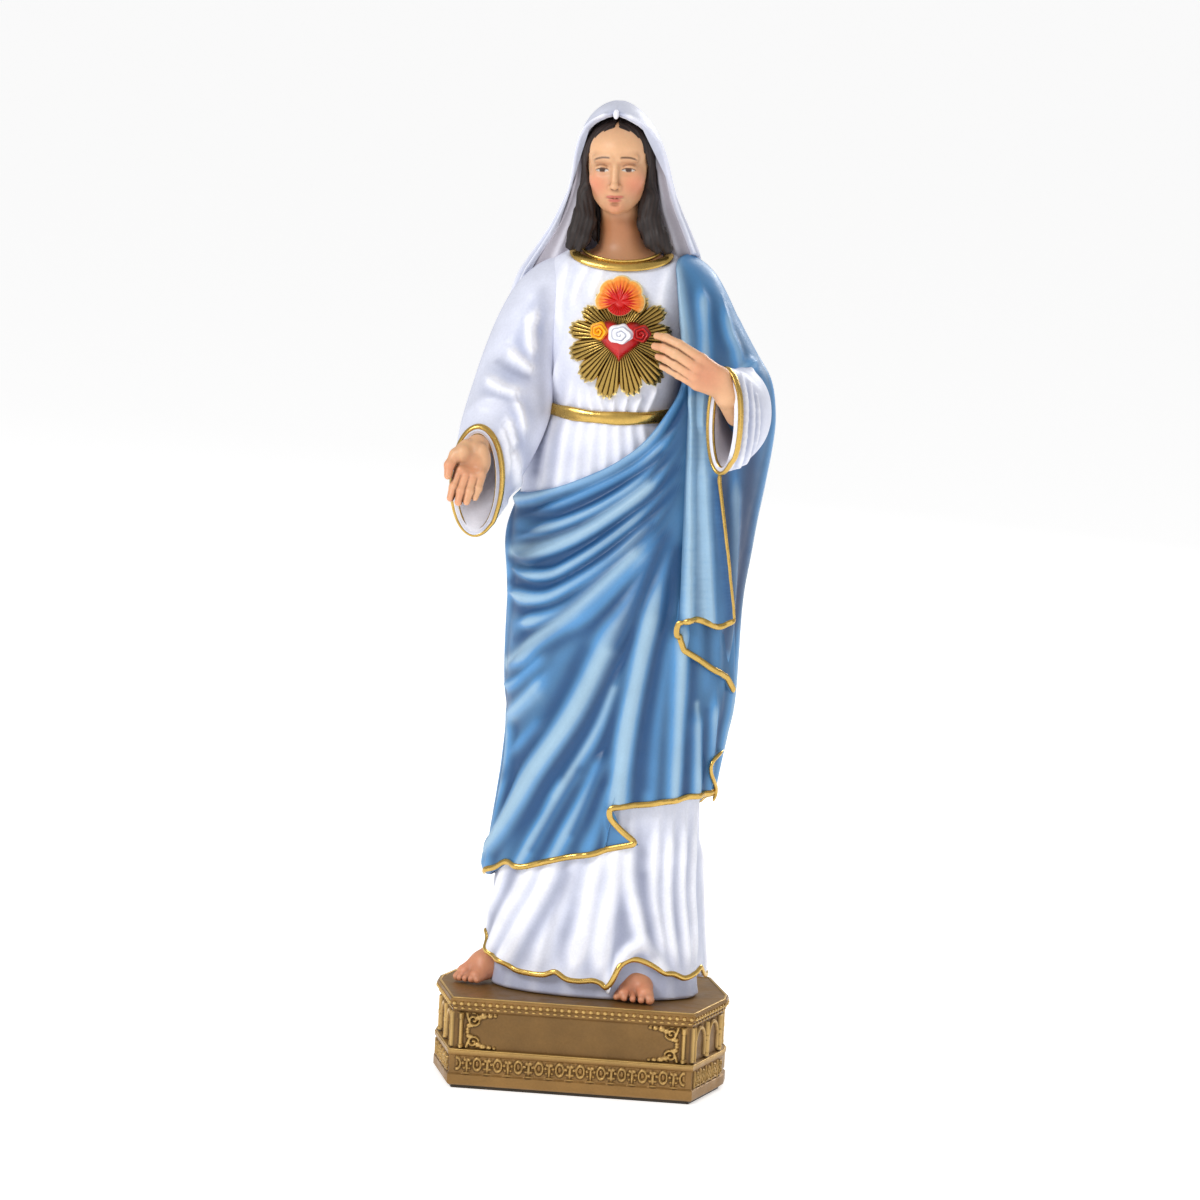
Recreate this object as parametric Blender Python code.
"""A painted resin Madonna statue, 300 mm tall, as an assembly of separately cast pieces.

The frame is +Z up with the figure facing -Y. The origin is the middle of the felt pad's underside.
Lengths below are in millimetres; build() turns them into metres. "Right" and "left" are the figure's own,
so the right hand is on the -X side.
"""

from math import cos, pi, radians, sin, sqrt

import bmesh
import bpy
import numpy as np
from mathutils import Vector

MM = 0.001
GAP = 0.35  # clearance left between touching pieces

# Pedestal: a long octagon whose four corners are cut back.
PEDESTAL_HALF_WIDTH = 45.0
PEDESTAL_FRONT_HALF_WIDTH = 37.4
PEDESTAL_HALF_DEPTH = 28.0
PEDESTAL_SIDE_HALF_LENGTH = 3.0
PEDESTAL_TOP = 28.0
PAD_THICKNESS = 0.8
PAD_INSET = 1.5
PEDESTAL_BOTTOM = PAD_THICKNESS + GAP
# (height, inset) of each moulding line, bottom to top
PEDESTAL_PROFILE = [
    (PEDESTAL_BOTTOM, 0.5), (PEDESTAL_BOTTOM + 0.5, 0.0), (4.6, 0.0), (5.0, 0.7), (10.4, 0.7), (10.9, 0.0),
    (12.0, 0.0), (12.4, 2.2), (23.6, 2.2), (24.4, 1.2), (25.8, 0.9), (26.2, 0.2), (27.6, 0.0), (28.0, 0.4),
]
FIGURE_BOTTOM = PEDESTAL_TOP + GAP
DOWEL_RADIUS = 2.5
DOWEL_SPAN = (12.0, 60.0)
DOWEL_AT = (3.0, 0.0)

# Horizontal sections: height, centre x, centre y, half width, reach to the front, reach to the back.
GOWN = [
    (28.35, 3.0, -1.0, 34.0, 18.8, 19.4), (36.0, 3.0, -1.0, 33.8, 19.0, 19.0),
    (48.0, 3.0, -1.0, 33.2, 18.8, 18.6),
    (66.0, 2.8, -1.0, 32.5, 18.5, 18.0), (88.0, 3.4, -1.0, 30.6, 18.0, 17.5),
    (110.0, 4.5, -1.0, 29.5, 18.0, 17.0),
    (130.0, 5.5, -0.5, 31.0, 18.5, 17.0), (150.0, 5.6, 0.0, 31.5, 18.0, 16.5),
    (166.0, 4.5, 0.0, 31.0, 17.0, 16.0),
    (180.0, 3.0, 0.0, 26.0, 15.0, 14.5), (195.0, 1.5, 0.0, 21.0, 13.5, 13.0),
    (207.0, 1.0, 0.0, 18.5, 12.5, 12.0),
    (216.0, 1.0, 0.0, 19.4, 14.2, 12.5), (226.0, 1.0, 0.0, 20.8, 16.0, 13.5),
    (236.0, 1.2, 0.5, 22.0, 15.8, 14.0),
    (244.0, 1.2, 1.0, 22.5, 13.5, 13.0), (250.0, 1.0, 2.0, 20.0, 11.2, 11.5),
    (254.0, 1.0, 2.5, 15.0, 9.3, 9.3),
    (257.0, 0.8, 2.5, 10.0, 8.2, 8.2),
]
MANTLE = [
    (56.0, 2.5, -1.0, 35.5, 21.8, 21.0), (66.0, 2.5, -1.0, 35.0, 21.4, 20.5),
    (86.0, 3.8, -1.0, 33.6, 20.8, 20.0),
    (98.0, 5.2, -1.0, 33.4, 20.8, 20.0), (110.0, 6.3, -1.0, 34.0, 21.0, 20.0),
    (122.0, 6.3, -0.5, 35.6, 21.4, 20.0),
    (150.0, 6.6, 0.0, 35.8, 21.0, 19.5), (166.0, 6.9, 0.5, 37.4, 20.0, 19.0),
    (176.0, 8.2, 1.0, 37.0, 20.2, 19.0),
    (186.0, 10.0, 2.0, 36.6, 19.6, 19.0), (198.0, 12.5, 3.0, 35.6, 18.8, 18.2),
    (208.0, 13.6, 3.0, 35.2, 18.4, 18.0),
    (218.0, 13.6, 3.0, 34.2, 19.2, 18.0), (226.0, 12.0, 2.5, 31.4, 20.4, 18.0),
    (236.0, 10.2, 2.0, 27.6, 19.8, 17.2),
    (244.0, 8.4, 2.0, 25.0, 16.0, 15.6), (250.0, 6.6, 2.5, 22.0, 13.2, 13.6),
    (254.0, 5.2, 3.0, 18.0, 11.2, 11.6),
]
# The mantle's lower and upper edges by bearing: degrees from the front, positive towards +X, and height.
MANTLE_LOW = [
    (-180, 66), (-120, 62), (-90, 60), (-64, 64), (-31, 69), (-14, 70), (5, 73), (13, 79), (22, 88),
    (48, 90),
    (90, 92), (130, 84), (180, 66),
]
MANTLE_HIGH = [
    (-180, 210), (-135, 196), (-100, 184), (-72, 182), (-37, 185), (-18, 191), (-2, 199), (8, 205),
    (15, 211),
    (20, 218), (24, 234), (30, 245), (40, 251), (60, 253), (100, 253), (130, 246), (155, 226), (180, 210),
]
GOWN_HEM = [(-180, 31), (-60, 41), (-20, 34), (10, 37), (28, 38), (45, 35), (90, 36), (180, 31)]
# The free end that falls over the mantle: height, and the bearing of each of its side edges.
FALL_EDGES = [(144.5, 36, 86), (155, 34, 77), (172, 30, 57), (190, 25, 43), (212, 20, 34)]
FALL_SPAN = (144.5, 212.0)
FALL_THICKNESS = 2.0
FALL_CLEARANCE = 0.7
FALL_TRIM_BEARINGS = (38, 84)
FALL_TRIM_HEIGHTS = (146.0, 186.0)
MANTLE_THICKNESS = 2.4

# Sleeves: the centre of each section, and its ellipse's half width and half height, from shoulder to mouth.
RIGHT_SLEEVE = [
    ((-17.0, 1.0, 246.0), 8.0, 9.0), ((-25.6, 0.5, 233.0), 8.8, 9.8), ((-29.6, -2.0, 220.0), 9.8, 11.0),
    ((-32.4, -8.0, 206.0), 10.8, 13.2), ((-34.6, -17.0, 194.8), 10.2, 15.0),
    ((-37.0, -27.0, 185.5), 7.6, 16.2),
]
RIGHT_MOUTH = Vector((-0.12, -0.97, 0.0)).normalized()
LEFT_SLEEVE = [
    ((40.0, -6.0, 212.0), 8.0, 11.0), ((42.0, -12.0, 210.0), 8.2, 13.0), ((40.0, -18.5, 208.0), 8.0, 15.0),
    ((36.5, -24.5, 207.0), 7.2, 16.4),
]
LEFT_MOUTH = Vector((-0.62, -0.78, 0.0)).normalized()
SLEEVE_WALL = 1.6
CUFF_RADIUS = 0.9

HEAD_CENTRE, HEAD_RADII = (-0.8, -2.5, 280.4), (9.2, 10.6, 13.4)
NECK = [
    ((0.8, 2.0, 249.0), 5.6), ((0.8, 1.2, 258.0), 5.8), ((0.2, 0.4, 268.0), 5.9), ((-0.6, 0.0, 276.0), 5.6),
]
HAIR_CENTRE, HAIR_RADII = (-0.8, 0.2, 281.0), (12.4, 12.8, 15.6)
VEIL_CENTRE, VEIL_RADII = (-0.8, 1.6, 281.2), (15.4, 15.4, 18.8)
VEIL = [
    (212.0, 1.0, 6.0, 21.0, 10.0, 13.0), (232.0, 0.8, 5.0, 23.5, 10.0, 14.5),
    (246.0, 0.0, 4.5, 24.0, 10.0, 13.4),
    (254.0, -0.2, 4.0, 20.5, 9.0, 12.8), (262.0, -0.3, 3.0, 17.6, 9.0, 13.0),
    (272.0, -0.6, 2.0, 15.8, 9.0, 14.0),
    (283.0, -0.8, 1.8, 15.2, 9.0, 14.6),
]

VEIL_WALL = 2.4
VEIL_SPAN = (212.0, 283.0)
# Half width, half height and depth of the openings cut in front of the face.
HAIR_OPENING = (8.4, 13.0, -4.0)
VEIL_OPENING = (12.0, 16.0, -2.0)
LEFT_ARM_HEIGHTS = [170.0, 186.0, 198.0, 208.0, 218.0, 226.0, 236.0]

BELT_BEARINGS = (-70, 46)
BELT_HEIGHTS = (205.6, 207.4, 209.2)
BELT_DIP = 1.6
BELT_THICKNESS = 1.3
COLLAR_BEARINGS = (-52, 52)
COLLAR_HEIGHTS = (251.4, 252.8)
COLLAR_RISE = 4.0
COLLAR_THICKNESS = 1.0

RAY_CLUSTERS = 12
RAY_THICKNESS = 1.2
# The ray ends within one cluster, and how much longer the lower rays are than the upper ones.
RAY_LENGTHS = (11.0, 15.0, 16.6, 15.0)
LOWER_RAY_SHARE, UPPER_RAY_SHARE = 1.12, 0.92
FLAME_THICKNESS = 1.6
HEART_FRONT = 5.2
HEART_SIZE = 6.4
ROSE_HEIGHT = 232.0
ROSE_THICKNESS = 1.6
ROSE_PETALS = 5
ROSES = [
    ("rose_yellow", -1.7, 2.4, "yellow"), ("rose_white", 4.6, 3.4, "white"), ("rose_red", 10.8, 2.3, "red"),
]
TRIM_RADIUS = 0.7
# The hem trims run this many degrees round from the front, to each side.
HEM_TRIM_REACH = 140
MANTLE_TRIM_REACH = 150
HEART_AT = (4.4, 229.5)
FLAME_AT = (4.0, 241.0)
SUNBURST_AT = (4.4, 231.0)


def material(name, colour, roughness=0.5, metallic=0.0):
    made = bpy.data.materials.new(name)
    made.use_nodes = True
    shader = made.node_tree.nodes["Principled BSDF"]
    shader.inputs["Base Color"].default_value = (*colour, 1.0)
    shader.inputs["Roughness"].default_value = roughness
    shader.inputs["Metallic"].default_value = metallic
    return made


def between(table, at):
    """The row of a table read at a height or bearing, along a smooth curve through its rows."""
    keys = [row[0] for row in table]
    at = min(max(at, keys[0]), keys[-1])
    i = min(max(j for j, key in enumerate(keys) if key <= at), len(keys) - 2)
    rows = [np.array(table[min(max(j, 0), len(table) - 1)][1:], float) for j in range(i - 1, i + 3)]
    t = (at - keys[i]) / (keys[i + 1] - keys[i])
    before, a, b, after = rows
    slope_a, slope_b = (b - before) / 2, (after - a) / 2
    square = 3 * (b - a) - 2 * slope_a - slope_b
    cube = slope_a + slope_b - 2 * (b - a)
    curved = a + (slope_a + (square + cube * t) * t) * t
    return np.clip(curved, np.minimum(a, b), np.maximum(a, b))


def section_point(table, bearing, height, grow=0.0):
    """The point of a horizontal section at a bearing in degrees from the front."""
    cx, cy, half, front, back = between(table, height)
    side, ahead = sin(radians(bearing)), cos(radians(bearing))
    reach = front if ahead > 0 else back
    return Vector((cx + (half + grow) * side, cy - (reach + grow) * ahead, height))


def chest(x, z, out=0.0):
    """The front surface of the gown at x and z, moved out by a distance."""
    cx, cy, half, front, _ = between(GOWN, z)
    return cy - front * sqrt(max(0.05, 1 - ((x - cx) / half) ** 2)) - out


def build(name, points, faces, finish, smooth=True, angle=40.0):
    """An object from points in millimetres and faces, with its normals facing out."""
    mesh = bpy.data.meshes.new(name)
    mesh.from_pydata([Vector(p) * MM for p in points], [], faces)
    shape = bmesh.new()
    shape.from_mesh(mesh)
    bmesh.ops.recalc_face_normals(shape, faces=shape.faces)
    shape.to_mesh(mesh)
    shape.free()
    obj = bpy.data.objects.new(name, mesh)
    bpy.context.scene.collection.objects.link(obj)
    if finish:
        mesh.materials.append(finish)
    if smooth:
        mesh.shade_smooth()
        mesh.set_sharp_from_angle(angle=radians(angle))
    return obj


def skin(name, rings, finish=None, loop=False, **options):
    """A closed solid over rings of equal length, capped at both ends by a fan, or joined end to end."""
    count = len(rings[0])
    points = [p for ring in rings for p in ring]
    spans = len(rings) if loop else len(rings) - 1
    faces = []
    for i in range(spans):
        low, high = i * count, (i + 1) % len(rings) * count
        for j in range(count):
            k = (j + 1) % count
            faces.append((low + j, low + k, high + k, high + j))
    if not loop:
        for start in (0, (len(rings) - 1) * count):
            middle = sum((Vector(points[start + j]) for j in range(count)), Vector()) / count
            points.append(middle)
            faces += [(len(points) - 1, start + j, start + (j + 1) % count) for j in range(count)]
    return build(name, points, faces, finish, **options)


def section_solid(name, table, heights, finish=None, grow=0.0, sides=40):
    """The solid through a table's horizontal sections."""
    bearings = [360 * j / sides for j in range(sides)]
    rings = [[section_point(table, b, z, grow) for b in bearings] for z in heights]
    return skin(name, rings, finish)


def shell(name, rows, inner, outer, finish=None):
    """A solid between two surfaces over rows of (bearing, height) points."""
    rings = [[outer(*p) for p in row] + [inner(*p) for p in reversed(row)] for row in rows]
    return skin(name, rings, finish)


def on(table, out):
    """The surface at a distance out of a table's sections."""
    return lambda bearing, height: section_point(table, bearing, height, out)


def steps(first, last, count):
    return [first + (last - first) * i / (count - 1) for i in range(count)]


def ellipse(centre, across, up, half, high, sides):
    angles = [2 * pi * j / sides for j in range(sides)]
    return [Vector(centre) + across * (half * cos(a)) + up * (high * sin(a)) for a in angles]


def sleeve_rings(sections, mouth, shrink=0.0, sides=20):
    """Rings of a sleeve, turning to face along the mouth's direction at the opening."""
    rings = []
    for i, (centre, half, high) in enumerate(sections):
        ahead = (
            Vector(sections[min(i + 1, len(sections) - 1)][0]) - Vector(sections[max(i - 1, 0)][0])
        ).normalized()
        if i == len(sections) - 1:
            ahead = mouth
        across = Vector((-mouth.y, mouth.x, 0)).normalized()
        across = (across - ahead * across.dot(ahead)).normalized()
        up = across.cross(ahead).normalized()
        rings.append(ellipse(centre, across, up, half - shrink, high - shrink, sides))
    return rings


def sleeve(name, sections, mouth, finish):
    """A hollow bell sleeve, open at its mouth and closed at its inner end."""
    outside = sleeve_rings(sections, mouth)
    inside = sleeve_rings(sections, mouth, SLEEVE_WALL)[-2:]
    return skin(name, outside + inside[::-1], finish)


def tube(name, stations, finish=None, sides=10, grow=0.0):
    """A round bar through (point, radius) stations, with rounded ends."""
    points = [Vector(p) for p, _ in stations]
    radii = [r + grow for _, r in stations]
    last = len(points) - 1
    ahead = [(points[min(i + 1, last)] - points[max(i - 1, 0)]).normalized() for i in range(last + 1)]
    caps = [(0.85, 0.5), (0.5, 0.86)]
    rows = [(points[0] - ahead[0] * radii[0] * out, ahead[0], radii[0] * share) for out, share in caps]
    rows += list(zip(points, ahead, radii))
    rows += [(points[-1] + ahead[-1] * radii[-1] * out, ahead[-1], radii[-1] * share)
             for out, share in caps[::-1]]
    reference = Vector((0.31, 0.52, 0.79))
    rings = []
    for point, direction, radius in rows:
        side = (reference - direction * reference.dot(direction)).normalized()
        rings.append(ellipse(point, side, direction.cross(side), radius, radius, sides))
    return skin(name, rings, finish)


def ellipsoid(name, centre, radii, finish=None, grow=0.0, segments=22, levels=12):
    rings = []
    for i in range(1, levels):
        a = pi * i / levels - pi / 2
        level = [Vector((centre[0], centre[1], centre[2] + (radii[2] + grow) * sin(a)))]
        rings.append(ellipse(level[0], Vector((1, 0, 0)), Vector((0, 1, 0)), (radii[0] + grow) * cos(a),
                             (radii[1] + grow) * cos(a), segments))
    return skin(name, rings, finish)


def cut(obj, *tools, operation="DIFFERENCE"):
    """Adds a Boolean with each tool, and takes the tools out of the render."""
    for tool in tools:
        modifier = obj.modifiers.new(f"{operation.lower()}_{tool.name}", "BOOLEAN")
        modifier.operation = operation
        modifier.object = tool
        tool.hide_render = True
        tool.display_type = "WIRE"
    return obj


def join(obj, *others):
    return cut(obj, *others, operation="UNION")


def octagon(inset, z):
    """The pedestal's outline, every side moved in by the inset."""
    run = PEDESTAL_HALF_WIDTH - PEDESTAL_FRONT_HALF_WIDTH
    rise = PEDESTAL_HALF_DEPTH - PEDESTAL_SIDE_HALF_LENGTH
    across, along = rise / sqrt(run**2 + rise**2), run / sqrt(run**2 + rise**2)
    front = PEDESTAL_FRONT_HALF_WIDTH - inset * (1 - along) / across
    side = PEDESTAL_SIDE_HALF_LENGTH - inset * (1 - across) / along
    wide, deep = PEDESTAL_HALF_WIDTH - inset, PEDESTAL_HALF_DEPTH - inset
    quarter = [(front, deep), (wide, side)]
    right = [(x, -y) for x, y in quarter] + [(x, y) for x, y in quarter[::-1]]
    return [Vector((x, y, z)) for x, y in right + [(-x, -y) for x, y in right]]


def dowel_solid(name, finish=None, grow=0.0):
    x, y = DOWEL_AT
    heights = [DOWEL_SPAN[0] - grow, DOWEL_SPAN[1] + grow]
    radius = DOWEL_RADIUS + grow
    rings = [ellipse((x, y, z), Vector((1, 0, 0)), Vector((0, 1, 0)), radius, radius, 24) for z in heights]
    return skin(name, rings, finish)


def mantle_solid(name, finish=None, grow=0.0):
    bearings = [360 * j / 44 - 180 for j in range(44)]
    rings = []
    for b in bearings:
        low, high = float(between(MANTLE_LOW, b)[0]) - grow, float(between(MANTLE_HIGH, b)[0]) + grow
        outside = [section_point(MANTLE, b, z, grow) for z in steps(low, high, 10)]
        inside = [section_point(MANTLE, b, z, -MANTLE_THICKNESS - grow) for z in steps(high, low, 10)]
        rings.append(outside + inside)
    return skin(name, rings, finish, loop=True)


def fall_solid(name, finish=None, grow=0.0):
    rows = []
    for z in steps(FALL_SPAN[0] - grow, FALL_SPAN[1] + grow, 12):
        left, right = between(FALL_EDGES, z)
        rows.append([(b, z) for b in steps(left - 2 * grow, right + 2 * grow, 10)])
    inner, outer = FALL_CLEARANCE - grow, FALL_CLEARANCE + FALL_THICKNESS + grow
    return shell(name, rows, on(MANTLE, inner), on(MANTLE, outer), finish)


def head_solid(name, finish=None, grow=0.0):
    head = ellipsoid(name, HEAD_CENTRE, HEAD_RADII, finish, grow)
    return join(head, tube(f"{name}_neck_guide", NECK, sides=20, grow=grow))


def hair_solid(name, finish=None, grow=0.0):
    return ellipsoid(name, HAIR_CENTRE, HAIR_RADII, finish, grow)


def veil_solid(name, finish=None, grow=0.0):
    cap = ellipsoid(name, VEIL_CENTRE, VEIL_RADII, finish, grow)
    return join(cap, section_solid(f"{name}_drape_guide", VEIL, steps(*VEIL_SPAN, 9), grow=grow, sides=28))


def face_opening(name, half, high, depth):
    """A cutter in front of the face: an upright oval, running forward."""
    x, _, z = HEAD_CENTRE
    rings = [ellipse((x, y, z - 2), Vector((1, 0, 0)), Vector((0, 0, 1)), half, high, 28)
             for y in (-60.0, depth)]
    return skin(name, rings)


def medallion_plane():
    """The foremost face of the sunburst."""
    x, z = SUNBURST_AT
    return min(chest(x, z + up, GAP + RAY_THICKNESS) for up in range(-16, 17))


def prism(name, outline, back, front, finish):
    """A flat outline in x and z, from a back to a front distance in front of the sunburst."""
    plane = medallion_plane()
    rings = [[Vector((px, plane - out, pz)) for px, pz in outline] for out in (back, front)]
    return skin(name, rings, finish, smooth=False)


def blossom(name, centre, radius, back, front, petals, finish):
    """A rose: three stacked rounds whose edges wave with their petals."""
    plane = medallion_plane()
    rings = []
    for share, size in ((0.0, 0.9), (0.35, 1.0), (0.7, 0.8), (1.0, 0.45)):
        y = plane - back - (front - back) * share
        ring = []
        for j in range(24):
            a = 2 * pi * j / 24
            r = radius * size * (1 + 0.07 * cos(petals * a + 3 * share))
            ring.append(Vector((centre[0] + r * cos(a), y, centre[1] + r * sin(a))))
        rings.append(ring)
    return skin(name, rings, finish)


def hand(name, wrist, palm, fingers, finish):
    """A hand: a forearm end, a flattened palm and five fingers, joined."""
    made = tube(name, wrist, finish, sides=14)
    parts = [tube(f"{name}_palm_guide", palm, sides=12)]
    parts += [tube(f"{name}_finger_{i}_guide", finger, sides=8) for i, finger in enumerate(fingers)]
    return join(made, *parts)


def hem_tube(name, table, edge, bearings, out, radius, finish=None):
    """A round trim along an edge given by bearing and height."""
    points = [section_point(table, b, float(between(edge, b)[0]), out) for b in bearings]
    return tube(name, [(p, radius) for p in points], finish, sides=6)


def rim_tube(name, sections, mouth, radius, finish):
    """A ring of round bar that lies in front of a sleeve's mouth."""
    centre, half, high = sections[-1]
    across = Vector((-mouth.y, mouth.x, 0))
    up = across.cross(mouth)
    rings = []
    for j in range(28):
        a = 2 * pi * j / 28
        radial = (across * cos(a) / half + up * sin(a) / high).normalized()
        middle = Vector(centre) + across * ((half - 0.8) * cos(a)) + up * ((high - 0.8) * sin(a))
        middle += mouth * (radius + GAP)
        rings.append(ellipse(middle, radial, mouth, radius, radius, 6))
    return skin(name, rings, finish, loop=True)


def star(name, centre, finish):
    """The sunburst: clusters of rays round the heart, in a plate that lies on the chest."""
    outline = []
    for i in range(RAY_CLUSTERS * 4):
        a = 2 * pi * i / (RAY_CLUSTERS * 4) + pi / 2
        r = RAY_LENGTHS[i % 4] * (LOWER_RAY_SHARE if sin(a) < -0.3 else UPPER_RAY_SHARE)
        outline.append((centre[0] + r * cos(a), centre[1] + r * sin(a)))
    rings = []
    shares = (0.15, 0.6, 1.0)
    for out, order in ((GAP + RAY_THICKNESS, shares), (GAP + 0.1, shares[::-1])):
        for share in order:
            drawn = [(centre[0] + (x - centre[0]) * share, centre[1] + (z - centre[1]) * share)
                     for x, z in outline]
            rings.append([Vector((x, chest(x, z, out), z)) for x, z in drawn])
    return skin(name, rings, finish, smooth=False)


def heart_outline(centre, size):
    points = []
    for i in range(28):
        a = 2 * pi * i / 28
        x = 16 * sin(a) ** 3
        z = 13 * cos(a) - 5 * cos(2 * a) - 2 * cos(3 * a) - cos(4 * a)
        points.append((centre[0] + x * size / 16, centre[1] + z * size / 16))
    return points


def flame_outline(centre):
    """Five rounded tongues over the heart."""
    points = []
    for i in range(41):
        a = pi * i / 40
        r = 7.6 * (0.82 + 0.18 * abs(cos(2.5 * a + pi / 2))) * (1 + 0.12 * sin(a))
        points.append((centre[0] + r * cos(a), centre[1] - 3.0 + r * sin(a) * 1.25))
    return points


def foot(name, heel, toe, width, room, finish):
    arch = (heel + toe) / 2 + Vector((0, 0, 0.8))
    made = tube(name, [(heel, width * 0.8), (arch, width), (toe, width * 0.86)], finish, sides=16)
    corners = ((-70, -70), (70, -70), (70, 70), (-70, 70))
    ground = [[Vector((x, y, z)) for x, y in corners] for z in (0.0, FIGURE_BOTTOM)]
    below = skin(f"{name}_ground_guide", ground)
    return cut(made, below, *room)


def finger(knuckle, bend, tip, radius=1.5):
    return [(knuckle, radius), (bend, radius * 0.95), (tip, radius * 0.8)]


# Heel, toe and radius of each foot.
RIGHT_FOOT = (Vector((-26.0, 1.0, 31.0)), Vector((-35.0, -8.5, 31.5)), 4.6)
LEFT_FOOT = (Vector((16.5, -6.0, 31.0)), Vector((17.8, -18.5, 31.5)), 5.0)
RIGHT_WRIST = [((-36.4, -22.5, 191.0), 2.8), ((-36.6, -27.0, 192.0), 3.0), ((-36.8, -32.0, 193.0), 3.4)]
RIGHT_PALM = [((-36.8, -33.5, 193.0), 3.8), ((-37.8, -36.5, 189.5), 4.2)]
RIGHT_FINGERS = [
    finger((-39.5, -35.0, 193.5), (-43.0, -37.0, 192.5), (-44.6, -38.5, 188.0)),
    finger((-40.6, -38.0, 188.0), (-41.8, -40.0, 184.0), (-42.4, -41.5, 180.2)),
    finger((-38.6, -38.4, 187.5), (-39.4, -40.8, 183.0), (-39.6, -42.4, 178.8)),
    finger((-36.6, -38.2, 187.5), (-36.8, -40.6, 183.2), (-36.8, -42.2, 179.2)),
    finger((-34.8, -37.4, 188.5), (-34.3, -39.6, 184.8), (-34.2, -41.0, 181.6)),
]
LEFT_WRIST = [((37.4, -23.6, 211.5), 2.4), ((36.4, -26.0, 213.5), 2.8), ((34.0, -31.5, 218.0), 3.2)]
LEFT_PALM = [((32.5, -33.0, 220.3), 4.2), ((28.0, -34.0, 222.2), 4.3)]
LEFT_FINGERS = [
    finger((29.5, -33.2, 225.4), (25.5, -31.8, 228.6), (22.0, -30.6, 230.4)),
    finger((25.5, -34.0, 225.2), (20.0, -33.6, 229.4), (14.8, -32.0, 231.4)),
    finger((25.0, -34.6, 222.8), (19.8, -35.0, 225.8), (15.4, -33.6, 227.6)),
    finger((25.2, -34.6, 220.4), (20.5, -35.2, 222.6), (16.6, -33.8, 223.6)),
    finger((26.0, -34.0, 218.2), (22.0, -34.4, 219.4), (18.8, -33.2, 220.2)),
]


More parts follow.
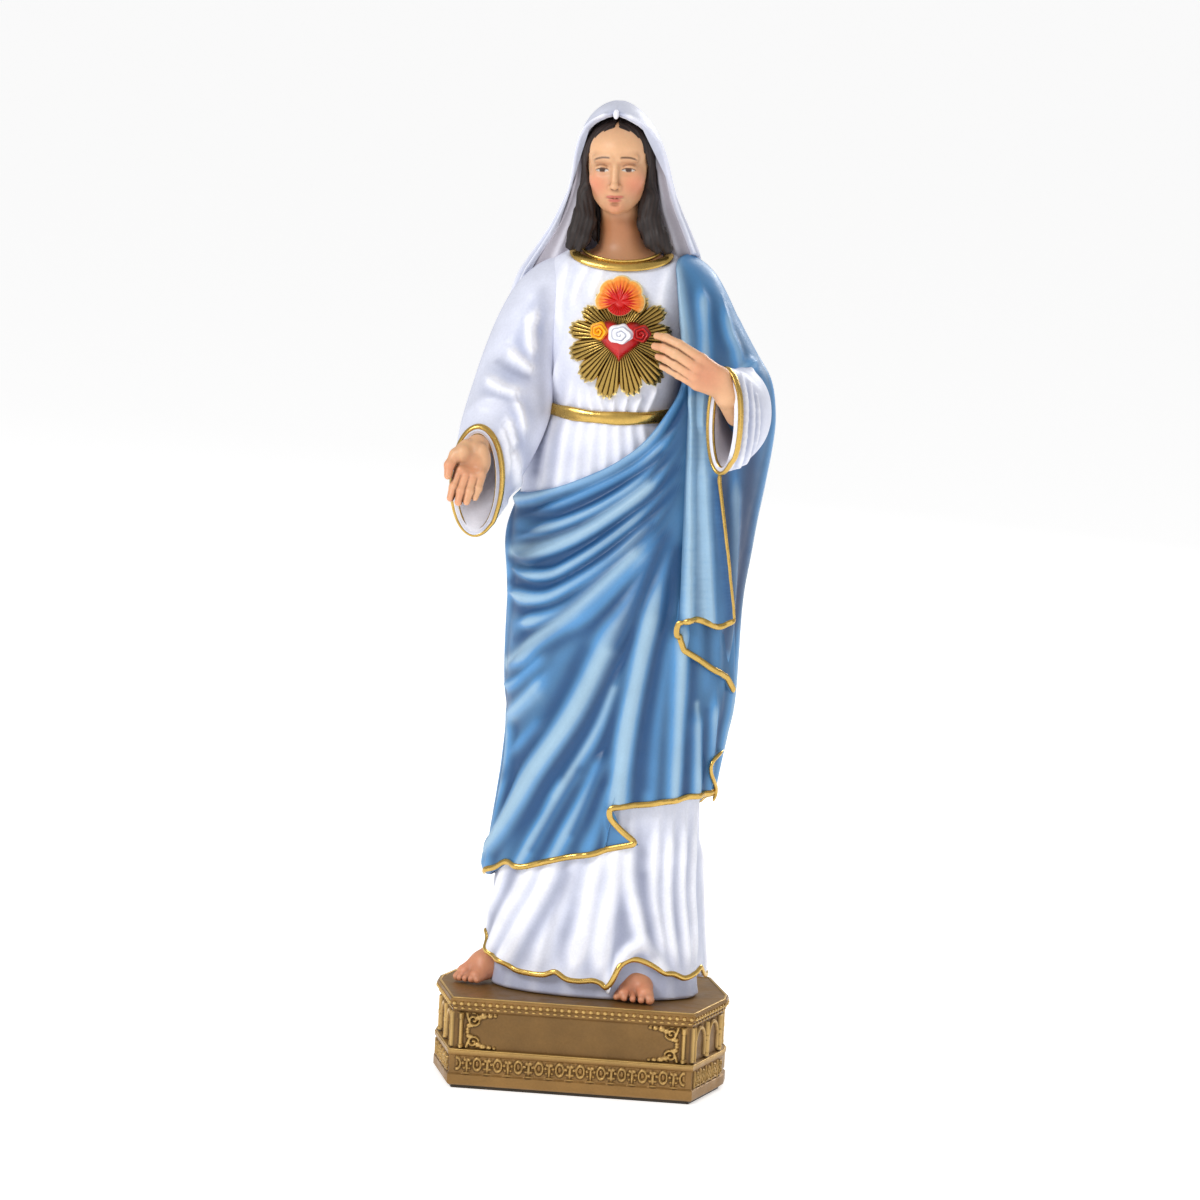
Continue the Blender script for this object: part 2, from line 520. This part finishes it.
def build_all():
    def resin(name, colour, rough=0.5):
        return material(name, colour, rough)

    white = resin("gown_white", (0.84, 0.85, 0.91))
    veil_white = resin("veil_white", (0.87, 0.86, 0.87))
    blue = resin("mantle_blue", (0.30, 0.55, 0.80))
    skin_tone = resin("skin_paint", (0.80, 0.55, 0.40), 0.4)
    hair_brown = resin("hair_paint", (0.05, 0.03, 0.025), 0.35)
    gold = material("trim_gold", (0.80, 0.55, 0.16), 0.25, 0.9)
    bronze = material("base_bronze", (0.42, 0.30, 0.13), 0.45, 0.6)
    red = resin("heart_red", (0.55, 0.03, 0.03), 0.3)
    orange = resin("flame_orange", (0.85, 0.22, 0.04), 0.35)
    rose_white = resin("rose_white", (0.88, 0.86, 0.84))
    rose_yellow = resin("rose_yellow", (0.90, 0.60, 0.10))
    felt = resin("felt_green", (0.06, 0.16, 0.09), 0.95)
    steel = material("dowel_steel", (0.60, 0.60, 0.62), 0.3, 1.0)

    dowel_solid("fixing_dowel", steel)
    socket = dowel_solid("dowel_socket_guide", grow=GAP)
    skin("felt_pad", [octagon(PAD_INSET, z) for z in (0.0, PAD_THICKNESS)], felt, smooth=False)
    cut(skin("pedestal", [octagon(inset, z) for z, inset in PEDESTAL_PROFILE], bronze, angle=30), socket)

    neck_hole = tube("neck_hole_guide", NECK, sides=20, grow=GAP)
    gown = section_solid("gown", GOWN, [row[0] for row in GOWN], white)
    cut(gown, socket, neck_hole)
    gown_room = section_solid("gown_room_guide", GOWN, [row[0] for row in GOWN], grow=GAP)
    cut(mantle_solid("mantle", blue), gown_room)
    mantle_room = mantle_solid("mantle_room_guide", grow=GAP)
    fall_solid("mantle_fall", blue)

    head_solid("head", skin_tone)
    head_room = head_solid("head_room_guide", grow=GAP)
    hair = hair_solid("hair", hair_brown)
    cut(hair, head_room, gown_room, face_opening("hairline_guide", *HAIR_OPENING))
    hair_room = hair_solid("hair_room_guide", grow=GAP)
    veil = veil_solid("veil", veil_white)
    inside = [(z, cx, cy, half - VEIL_WALL, 40.0, back - VEIL_WALL)
              for z, cx, cy, half, front, back in VEIL]
    within = section_solid("veil_inside_guide", inside, [205.0] + steps(212, 270, 8), sides=28)
    opening = face_opening("veil_opening_guide", *VEIL_OPENING)
    cut(veil, within, hair_room, head_room, gown_room, mantle_room, opening)
    veil_room = veil_solid("veil_room_guide", grow=GAP)

    cut(sleeve("right_sleeve", RIGHT_SLEEVE, RIGHT_MOUTH, white), gown_room, mantle_room, veil_room)
    arm_room = section_solid("left_arm_room_guide", MANTLE, LEFT_ARM_HEIGHTS, grow=GAP)
    fall_room = fall_solid("fall_room_guide", grow=GAP)
    cut(sleeve("left_sleeve", LEFT_SLEEVE, LEFT_MOUTH, white), arm_room, fall_room)
    hand("right_hand", RIGHT_WRIST, RIGHT_PALM, RIGHT_FINGERS, skin_tone)
    hand("left_hand", LEFT_WRIST, LEFT_PALM, LEFT_FINGERS, skin_tone)
    bearings = steps(-HEM_TRIM_REACH, HEM_TRIM_REACH, 36)
    trim_out = TRIM_RADIUS + GAP
    hem_tube("gown_hem_trim", GOWN, GOWN_HEM, bearings, trim_out, TRIM_RADIUS, gold)
    hem_room = hem_tube("gown_hem_room_guide", GOWN, GOWN_HEM, bearings, trim_out, TRIM_RADIUS + GAP)
    under = [gown_room, hem_room]
    foot("right_foot", *RIGHT_FOOT, under, skin_tone)
    foot("left_foot", *LEFT_FOOT, under, skin_tone)

    cut(star("sunburst", SUNBURST_AT, gold), gown_room)
    prism("heart", heart_outline(HEART_AT, HEART_SIZE), FLAME_THICKNESS + 2 * GAP, HEART_FRONT, red)
    prism("flame", flame_outline(FLAME_AT), GAP, GAP + FLAME_THICKNESS, orange)
    for name, x, radius, tint in ROSES:
        finish = {"white": rose_white, "yellow": rose_yellow, "red": red}[tint]
        back = HEART_FRONT + GAP
        blossom(name, (x, ROSE_HEIGHT), radius, back, back + ROSE_THICKNESS, ROSE_PETALS, finish)

    belt_rows = [[(b, z - BELT_DIP * cos(radians(b)) ** 2) for z in BELT_HEIGHTS]
                 for b in steps(*BELT_BEARINGS, 24)]
    shell("belt", belt_rows, on(GOWN, GAP), on(GOWN, GAP + BELT_THICKNESS), gold)
    collar_rows = [[(b, z + COLLAR_RISE * (1 - cos(radians(b)))) for z in COLLAR_HEIGHTS]
                   for b in steps(*COLLAR_BEARINGS, 20)]
    shell("collar", collar_rows, on(GOWN, GAP), on(GOWN, GAP + COLLAR_THICKNESS), gold)
    rim_tube("right_cuff_trim", RIGHT_SLEEVE, RIGHT_MOUTH, CUFF_RADIUS, gold)
    rim_tube("left_cuff_trim", LEFT_SLEEVE, LEFT_MOUTH, CUFF_RADIUS, gold)
    bearings = steps(-MANTLE_TRIM_REACH, MANTLE_TRIM_REACH, 44)
    hem_tube("mantle_hem_trim", MANTLE, MANTLE_LOW, bearings, trim_out, TRIM_RADIUS, gold)
    fall_out = FALL_CLEARANCE + FALL_THICKNESS + trim_out
    fall_edge = [section_point(MANTLE, between(FALL_EDGES, z)[1], z, fall_out)
                 for z in steps(*FALL_TRIM_HEIGHTS, 12)]
    fall_hem = [section_point(MANTLE, b, FALL_SPAN[0], fall_out) for b in steps(*FALL_TRIM_BEARINGS, 8)]
    tube("mantle_fall_trim", [(p, TRIM_RADIUS) for p in fall_hem + fall_edge], gold, sides=8)


def clear_scene():
    for obj in list(bpy.data.objects):
        bpy.data.objects.remove(obj)


clear_scene()
build_all()
